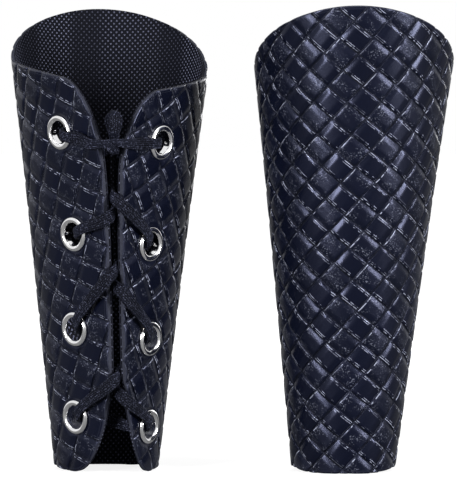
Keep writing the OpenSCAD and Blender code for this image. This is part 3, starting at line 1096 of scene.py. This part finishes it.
# A smooth curve through all the stations, sampled evenly.
def smoothRun(points, step):
    gaps = np.maximum(np.linalg.norm(np.diff(points[:, :3], axis=0), axis=1), 1e-3) ** 0.5
    slopes = np.zeros_like(points)
    rise = np.diff(points, axis=0) / gaps[:, None]
    slopes[1:-1] = rise[:-1] * gaps[1:, None] + rise[1:] * gaps[:-1, None]
    slopes[1:-1] /= (gaps[:-1] + gaps[1:])[:, None]
    slopes[0], slopes[-1] = rise[0], rise[-1]
    fine = []
    for i, gap in enumerate(gaps):
        t = np.linspace(0, 1, braid["curveSteps"], endpoint=False)[:, None]
        fine.append(points[i] * (1 + 2 * t) * (1 - t) ** 2 + slopes[i] * gap * t * (1 - t) ** 2
                    + points[i + 1] * t * t * (3 - 2 * t) + slopes[i + 1] * gap * t * t * (t - 1))
    fine = np.concatenate(fine + [points[-1:]])
    length = np.concatenate([[0.0], np.cumsum(np.linalg.norm(np.diff(fine[:, :3], axis=0), axis=1))])
    even = np.linspace(0, length[-1], int(length[-1] / step) + 1)
    return even, np.stack([np.interp(even, length, fine[:, n]) for n in range(fine.shape[1])], 1)


def laceMesh(b):
    route = laceRoute(b)
    points = np.array([np.concatenate([p, w, [wide]]) for p, w, wide in route])
    along, run = smoothRun(points, braid["step"])
    middle, w, wide = run[:, :3], run[:, 3:6], run[:, 6]
    tangent = np.gradient(middle, axis=0)
    tangent /= np.linalg.norm(tangent, axis=1)[:, None]
    w = w - (w * tangent).sum(1)[:, None] * tangent
    w /= np.linalg.norm(w, axis=1)[:, None]
    n = np.cross(tangent, w)
    around = np.arange(braid["around"]) / braid["around"] * 2 * math.pi
    cx, cy = (np.sign(a) * np.abs(a) ** braid["square"] for a in (np.cos(around), np.sin(around)))
    thick = lace["thick"] * (lace["width"] / wide) ** braid["thickPower"] - braid["height"]
    x = cx[None] * (wide[:, None] - braid["height"]) / 2
    y = cy[None] * thick[:, None] / 2
    rings = middle[:, None] + x[..., None] * w[:, None] + y[..., None] * n[:, None]
    out = cx[None, :, None] * braid["sideLean"] * w[:, None] + cy[None, :, None] * n[:, None]
    out /= np.linalg.norm(out, axis=2)[..., None]
    count, sides = rings.shape[:2]
    squeezed = smooth(wide / lace["width"], *braid["squeezed"])[:, None]
    spot = np.stack(np.broadcast_arrays(along[:, None], cx[None] * lace["width"] / 2, squeezed), 2)
    i, j = np.meshgrid(np.arange(count - 1), np.arange(sides), indexing="ij")
    a, c = (i * sides + j).ravel(), (i * sides + (j + 1) % sides).ravel()
    faces = [tuple(f) for f in np.stack([a, c, c + sides, a + sides], 1)]
    faces += [tuple(range(sides - 1, -1, -1)), tuple(range((count - 1) * sides, count * sides))]
    obj = meshFrom(b["name"] + "_braided_lace", rings.reshape(-1, 3) * mm, faces)
    tidyNormals(obj)
    storePoints(obj, "braidSpot", spot.reshape(-1, 3))
    storePoints(obj, "outward", out.reshape(-1, 3) * mm)
    return obj, along[-1]


# Turns a closed outline of (radius, height) round the upright axis.
def turnedRing(name, outline, sides):
    radius, height = np.array(outline).T * mm
    angle = np.arange(sides)[:, None] / sides * 2 * math.pi
    points = np.stack([radius * np.cos(angle), radius * np.sin(angle), height + 0 * angle], 2)
    m = len(outline)
    faces = []
    for i in range(sides):
        here, there = i * m, (i + 1) % sides * m
        faces += [(here + j, here + (j + 1) % m, there + (j + 1) % m, there + j) for j in range(m)]
    obj = meshFrom(name, points.reshape(-1, 3), faces)
    tidyNormals(obj)
    return obj


def arcPoints(centre, height, radius, start, end, steps):
    turn = np.radians(np.linspace(start, end, steps))
    return [(centre + radius * math.cos(a), height + radius * math.sin(a)) for a in turn]


def eyeletOutline():
    hole, seat = eyelets["hole"], -eyelets["seat"]
    ring = arcPoints(hole + beadRadius, seat, beadRadius, 180, 0, eyelets["beadSteps"])
    ring += [(hole + eyelets["barrel"], seat), (hole + eyelets["barrel"], washerLow)]
    roll = eyelets["roll"]
    return ring + arcPoints(hole + roll, washerLow, roll, 0, -180, eyelets["rollSteps"])


def washerOutline():
    inner, outer = eyelets["hole"] + eyelets["barrel"] + eyelets["washerPlay"], eyelets["outer"]
    low, high, bevel = washerLow, washerLow + eyelets["washer"], eyelets["washerBevel"]
    return [(inner, low), (outer - bevel, low), (outer, low + bevel), (outer, high - bevel),
            (outer - bevel, high), (inner, high)]


def buildRingTree():
    tree, given, result = newGrowth("setRings", {"Ring": "Object", "Metal": "Material"})
    ring = addNode(tree, "GeometryNodeObjectInfo", {"Object": given["Ring"]})
    turn = addNode(tree, "FunctionNodeAxesToRotation", {
        "Primary Axis": attributeOf(tree, "outward"), "Secondary Axis": attributeOf(tree, "toward")},
        primary_axis="Z", secondary_axis="X")
    spread = addNode(tree, "GeometryNodeInstanceOnPoints", {
        "Points": given["Geometry"], "Instance": ring.outputs["Geometry"], "Rotation": turn.outputs[0]})
    tree.links.new(dressed(tree, spread.outputs[0], given["Metal"]), result[0])
    return tree


def ringRow(name, b, side, ring, tree, metal):
    frames = eyeletFrames(b, side)
    obj = meshFrom(name, np.array([f[0] for f in frames]) * mm, [])
    storePoints(obj, "outward", [f[3] for f in frames])
    storePoints(obj, "toward", [f[1] for f in frames])
    return grow(obj, tree, {"Ring": ring, "Metal": metal})


# Camera, floor and lights.
view = dict(
    place=(-0.00164, -2.8835, 0.2199),
    aim=(-0.00164, 0.0, 0.127),
    lens=404.3,
    sensor=36.0,
    farEnd=50.0,
)


# Adds a camera or a light, turned toward a point.
def addAimed(obj, place, aim):
    obj.location = place
    obj.rotation_euler = (Vector(aim) - obj.location).to_track_quat("-Z", "Y").to_euler()
    bpy.context.scene.collection.objects.link(obj)


camera = bpy.data.objects.new("camera", bpy.data.cameras.new("camera"))
camera.data.sensor_fit = "HORIZONTAL"
camera.data.sensor_width = view["sensor"]
camera.data.lens = view["lens"]
camera.data.clip_end = view["farEnd"]
addAimed(camera, view["place"], view["aim"])
bpy.context.scene.camera = camera
bpy.context.scene.view_settings.view_transform = "Standard"

# Each softbox has a place, a size and a power. The floor's glow, as the camera sees it, goes from
# the third number of floorGlow at the first distance from the middle to the fourth at the second.
studio = dict(
    softboxes=[((-1.1, -1.55, 0.42), (0.5, 0.8), 50.0), ((1.6, -1.0, 0.42), (0.5, 0.8), 50.0),
               ((0.0, -0.4, 2.0), (1.4, 1.4), 10.0), ((0.5, 1.9, 0.7), (1.2, 1.0), 14.0)],
    aim=(0, 0, 0.13),
    ambient=0.06,
    glossy=0.9,
    floor=12.0,
    floorTone=(0.25, 0.25, 0.25, 1),
    floorRoughness=0.9,
    floorGlow=(0.25, 0.8, 0.82, 1.0),
)
white = (1, 1, 1, 1)

for place, size, power in studio["softboxes"]:
    light = bpy.data.lights.new("softbox", "AREA")
    light.shape = "RECTANGLE"
    light.size, light.size_y = size
    light.energy = power
    addAimed(bpy.data.objects.new("softbox", light), place, studio["aim"])

world = bpy.data.worlds.new("studio")
bpy.context.scene.world = world
world.use_nodes = True
rays = addNode(world.node_tree, "ShaderNodeLightPath").outputs
shown = calc(world.node_tree, "MAXIMUM", rays["Is Camera Ray"],
             times(world.node_tree, rays["Is Glossy Ray"], studio["glossy"]))
background = world.node_tree.nodes["Background"].inputs
plug(world.node_tree, background["Color"], white)
plug(world.node_tree, background["Strength"], calc(world.node_tree, "MAXIMUM", shown, studio["ambient"]))

floorMaterial, tree = newMaterial("studioFloor")
fromMiddle = addNode(tree, "ShaderNodeVectorMath", {0: objectPlace(tree)},
                     operation="LENGTH").outputs["Value"]
rays = addNode(tree, "ShaderNodeLightPath").outputs
setShader(floorMaterial, {
    "Base Color": studio["floorTone"], "Roughness": studio["floorRoughness"], "Emission Color": white,
    "Emission Strength": times(tree, rays["Is Camera Ray"], ramp(tree, fromMiddle, *studio["floorGlow"]))})
floorSize = studio["floor"]
floorCorners = [(x * floorSize, y * floorSize, 0) for x, y in ((-1, -1), (1, -1), (1, 1), (-1, 1))]
floorObj = meshFrom("studioFloor", floorCorners, [(0, 1, 2, 3)], False)
floorObj.data.materials.append(floorMaterial)
print("camera, floor and lights set")

# The bend at the back and the lace's give, whose ends are worked out below but not applied: degrees,
# distances over which they would spread, and heights.
moving = dict(
    backTilt=30.0,
    backReach=24.0,
    laceFrom=7.5,
    laceTo=19.0,
    slitLevels=(30.0, 180.0),
)
embossed, cloth = leatherMaterial(), liningMaterial()
cutEdge = cutEdgeMaterial("cutLeather", *cut["leather"])
clothEdge = cutEdgeMaterial("cutCloth", *cut["cloth"])
chrome, braided = chromeMaterial(), laceMaterial()
weaveTree, braidTree, ringTree = buildWeaveTree(), buildBraidTree(), buildRingTree()
eyeletRing = turnedRing("eyeletRing", eyeletOutline(), eyelets["ringSides"])
washerRing = turnedRing("washerRing", washerOutline(), eyelets["washerSides"])


# The two ends of the bend in the moving half of a sleeve, at right angles to the hinge line.
def backBend(b):
    joint = next(j for j in frame["joints"] if j["name"] == b["name"] + "_bracer_opening")
    place, axis = np.array(joint["pos_m"]), unit(np.array(joint["axis"]))
    tilt = math.radians(moving["backTilt"])
    d = turned(np.array([-math.cos(tilt), -math.sin(tilt), 0.0]), b["turn"])
    d = unit(d - (d @ axis) * axis)
    return tuple(place), tuple(place + d * moving["backReach"] * mm)


# The two ends of the lace's give, on the moving side of the slit.
def slitGive(b):
    low, high = (slitMiddle(b, level, 0, 0) for level in moving["slitLevels"])
    line = unit(high - low)
    d = turned(np.array([-1.0, 0.0, 0.0]), b["turn"])
    d = unit(d - (d @ line) * line)
    return tuple((low + d * moving["laceFrom"]) * mm), tuple((low + d * moving["laceTo"]) * mm)


# The two bracers.
seat = eyelets["seat"] + eyelets["seatPlay"]
relief = {"Crown": weave["crown"], "Dive": weave["dive"], "Groove": weave["groove"]}
noRelief = dict.fromkeys(relief, 0.0)
for b in bracers:
    name = b["name"]
    fixedBody, movingBody = name + "_bracer", name + "_bracer_flap"
    for side, flap in ((-1, "left_flap"), (1, "right_flap")):
        node = f"{name}_{flap}"
        moves = side < 0
        shell = halfSheet(node + "_embossed_leather", b, side, sheet["outer"], sheet["inner"], 0.0,
                          -sleeve["leather"], seat)
        grow(shell, weaveTree, {**relief, "Leather": embossed, "Cut edge": cutEdge})
        sharpenBorders(shell)
        backing = halfSheet(node + "_woven_lining", b, side, sheet["lining"], sheet["lining"],
                            -sleeve["leather"] - sleeve["glue"], -wall)
        grow(backing, weaveTree, {**noRelief, "Leather": cloth, "Cut edge": clothEdge})
        sharpenBorders(backing)
        for piece, solid, slot in ((shell, "leather", "outer_leather"),
                                   (backing, "lining", "lining_cloth")):
            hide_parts(f"{node}_{solid}")
            if moves:
                start, end = backBend(b)
                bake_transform(piece)
            else:
                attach(piece, fixedBody)
        for kind, ring in (("eyelet", eyeletRing), ("washer", washerRing)):
            rings = ringRow(f"{node}_{kind}s", b, side, ring, ringTree, chrome)
            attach(rings, movingBody if moves else fixedBody)
            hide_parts(*[f"{node}_{kind}_{k}" for k in range(1, eyelets["rows"] + 1)])
        print(node, "dressed")
    cord, length = laceMesh(b)
    grow(cord, braidTree, {"Height": braid["height"], "Braid": braided})
    start, end = slitGive(b)
    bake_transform(cord)
    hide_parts(name + "_lace")
    print(name, "lace", round(length), "mm long")

for ring in (eyeletRing, washerRing):
    old = ring.data
    bpy.data.objects.remove(ring)
    bpy.data.meshes.remove(old)
